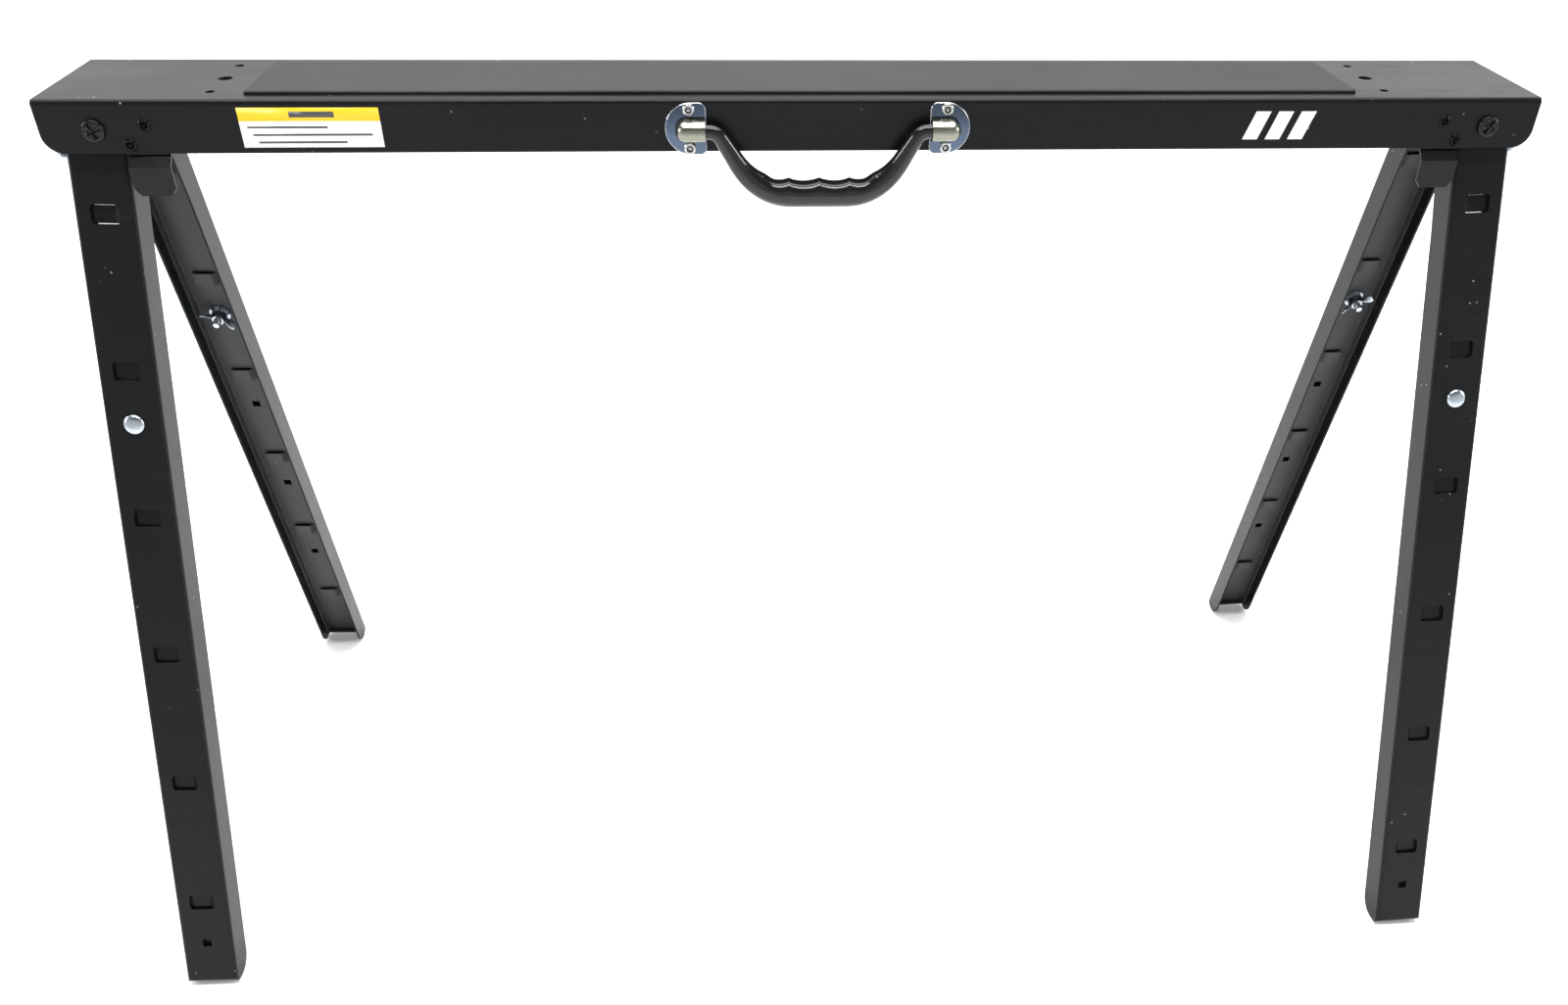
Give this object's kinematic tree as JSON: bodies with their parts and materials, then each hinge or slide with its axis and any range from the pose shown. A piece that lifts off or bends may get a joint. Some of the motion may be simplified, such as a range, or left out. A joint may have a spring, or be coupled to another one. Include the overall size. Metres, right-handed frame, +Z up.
{
  "type": "folding sawhorse",
  "caption": "Folding sawhorse with a channel-shaped steel beam, a rubber top mat, a swinging carry handle and splayed telescopic legs that fold under the beam.",
  "frame": {"origin": "on the floor, under the centre of the beam", "axes": "+X along the beam to the right as seen from the handle side, +Y to the rear, +Z up"},
  "size_m": [1.0938, 0.5008, 0.688],
  "materials": {
    "beam_paint": "satin black powder coat",
    "leg_paint": "satin black powder coat",
    "inner_leg_paint": "satin black powder coat",
    "yoke_paint": "satin black powder coat",
    "black_hardware": "semi-gloss black",
    "zinc": "bright zinc plating",
    "pad_rubber": "matte dark grey rubber",
    "grip_plastic": "glossy black moulded plastic",
    "spacer_nylon": "natural nylon",
    "label_vinyl": "white vinyl with a yellow band, no text",
    "decal_vinyl": "white vinyl bars, no text"
  },
  "bodies": {
    "beam": {"beam": "beam_paint", "top_mat": "pad_rubber", "label": "label_vinyl", "decal": "decal_vinyl", "handle_bracket_left": "zinc", "handle_bracket_right": "zinc", "handle_rivets": "zinc", "pivot_bolt_left": "black_hardware", "pivot_bolt_right": "black_hardware", "pivot_nut_left": "zinc", "pivot_nut_right": "zinc", "pivot_spacers_left": "spacer_nylon", "pivot_spacers_right": "spacer_nylon", "guide_rivets": "black_hardware", "leg_guide_front_left": "black_hardware", "leg_guide_front_right": "black_hardware", "leg_guide_rear_left": "black_hardware", "leg_guide_rear_right": "black_hardware"},
    "handle": {"handle": "grip_plastic", "handle_pins": "zinc"},
    "head_left": {"yoke_left": "yoke_paint", "pivot_sleeve_left": "zinc", "splay_pin_front_left": "zinc", "splay_pin_rear_left": "zinc", "splay_washer_front_left": "zinc", "splay_washer_rear_left": "zinc"},
    "leg_front_left": {"outer_leg_front_left": "leg_paint", "inner_leg_front_left": "inner_leg_paint", "carriage_bolt_front_left": "zinc", "clamp_washer_front_left": "zinc"},
    "wing_nut_front_left": {"wing_nut_front_left": "zinc"},
    "leg_rear_left": {"outer_leg_rear_left": "leg_paint", "inner_leg_rear_left": "inner_leg_paint", "carriage_bolt_rear_left": "zinc", "clamp_washer_rear_left": "zinc"},
    "wing_nut_rear_left": {"wing_nut_rear_left": "zinc"},
    "head_right": {"yoke_right": "yoke_paint", "pivot_sleeve_right": "zinc", "splay_pin_front_right": "zinc", "splay_pin_rear_right": "zinc", "splay_washer_front_right": "zinc", "splay_washer_rear_right": "zinc"},
    "leg_front_right": {"outer_leg_front_right": "leg_paint", "inner_leg_front_right": "inner_leg_paint", "carriage_bolt_front_right": "zinc", "clamp_washer_front_right": "zinc"},
    "wing_nut_front_right": {"wing_nut_front_right": "zinc"},
    "leg_rear_right": {"outer_leg_rear_right": "leg_paint", "inner_leg_rear_right": "inner_leg_paint", "carriage_bolt_rear_right": "zinc", "clamp_washer_rear_right": "zinc"},
    "wing_nut_rear_right": {"wing_nut_rear_right": "zinc"}
  },
  "joints": [
    {"name": "fold_left", "type": "hinge", "parent": "beam", "child": "head_left", "pos_m": [-0.497, 0, 0.6658], "axis": [0, -1, 0], "range_deg": [0, 92]},
    {"name": "fold_right", "type": "hinge", "parent": "beam", "child": "head_right", "pos_m": [0.497, 0, 0.6658], "axis": [0, 1, 0], "range_deg": [0, 83.5]},
    {"name": "splay_front_left", "type": "hinge", "parent": "head_left", "child": "leg_front_left", "pos_m": [-0.49784, -0.033, 0.64181], "axis": [0.9994, 0, -0.0349], "range_deg": [0, 19.2]},
    {"name": "splay_rear_left", "type": "hinge", "parent": "head_left", "child": "leg_rear_left", "pos_m": [-0.49784, 0.033, 0.64181], "axis": [-0.9994, 0, 0.0349], "range_deg": [0, 19.2]},
    {"name": "splay_front_right", "type": "hinge", "parent": "head_right", "child": "leg_front_right", "pos_m": [0.49784, -0.033, 0.64181], "axis": [0.9994, 0, 0.0349], "range_deg": [0, 19.2]},
    {"name": "splay_rear_right", "type": "hinge", "parent": "head_right", "child": "leg_rear_right", "pos_m": [0.49784, 0.033, 0.64181], "axis": [-0.9994, 0, -0.0349], "range_deg": [0, 19.2]},
    {"name": "wing_nut_turn_front_left", "type": "hinge", "parent": "leg_front_left", "child": "wing_nut_front_left", "pos_m": [-0.51007, -0.09926, 0.46358], "axis": [0.0105, -0.9537, 0.3005], "continuous": true},
    {"name": "wing_nut_turn_rear_left", "type": "hinge", "parent": "leg_rear_left", "child": "wing_nut_rear_left", "pos_m": [-0.51007, 0.09926, 0.46358], "axis": [0.0105, 0.9537, 0.3005], "continuous": true},
    {"name": "wing_nut_turn_front_right", "type": "hinge", "parent": "leg_front_right", "child": "wing_nut_front_right", "pos_m": [0.51007, -0.09926, 0.46358], "axis": [-0.0105, -0.9537, 0.3005], "continuous": true},
    {"name": "wing_nut_turn_rear_right", "type": "hinge", "parent": "leg_rear_right", "child": "wing_nut_rear_right", "pos_m": [0.51007, 0.09926, 0.46358], "axis": [-0.0105, 0.9537, 0.3005], "continuous": true},
    {"name": "handle_swing", "type": "hinge", "parent": "beam", "child": "handle", "pos_m": [0, -0.0645, 0.6658], "axis": [-1, 0, 0], "range_deg": [0, 180]}
  ],
  "couplings": [
    {"joint": "splay_front_left", "follows": "fold_left", "ratio": 0.2087},
    {"joint": "splay_rear_left", "follows": "fold_left", "ratio": 0.2087},
    {"joint": "splay_front_right", "follows": "fold_right", "ratio": 0.22994},
    {"joint": "splay_rear_right", "follows": "fold_right", "ratio": 0.22994}
  ]
}
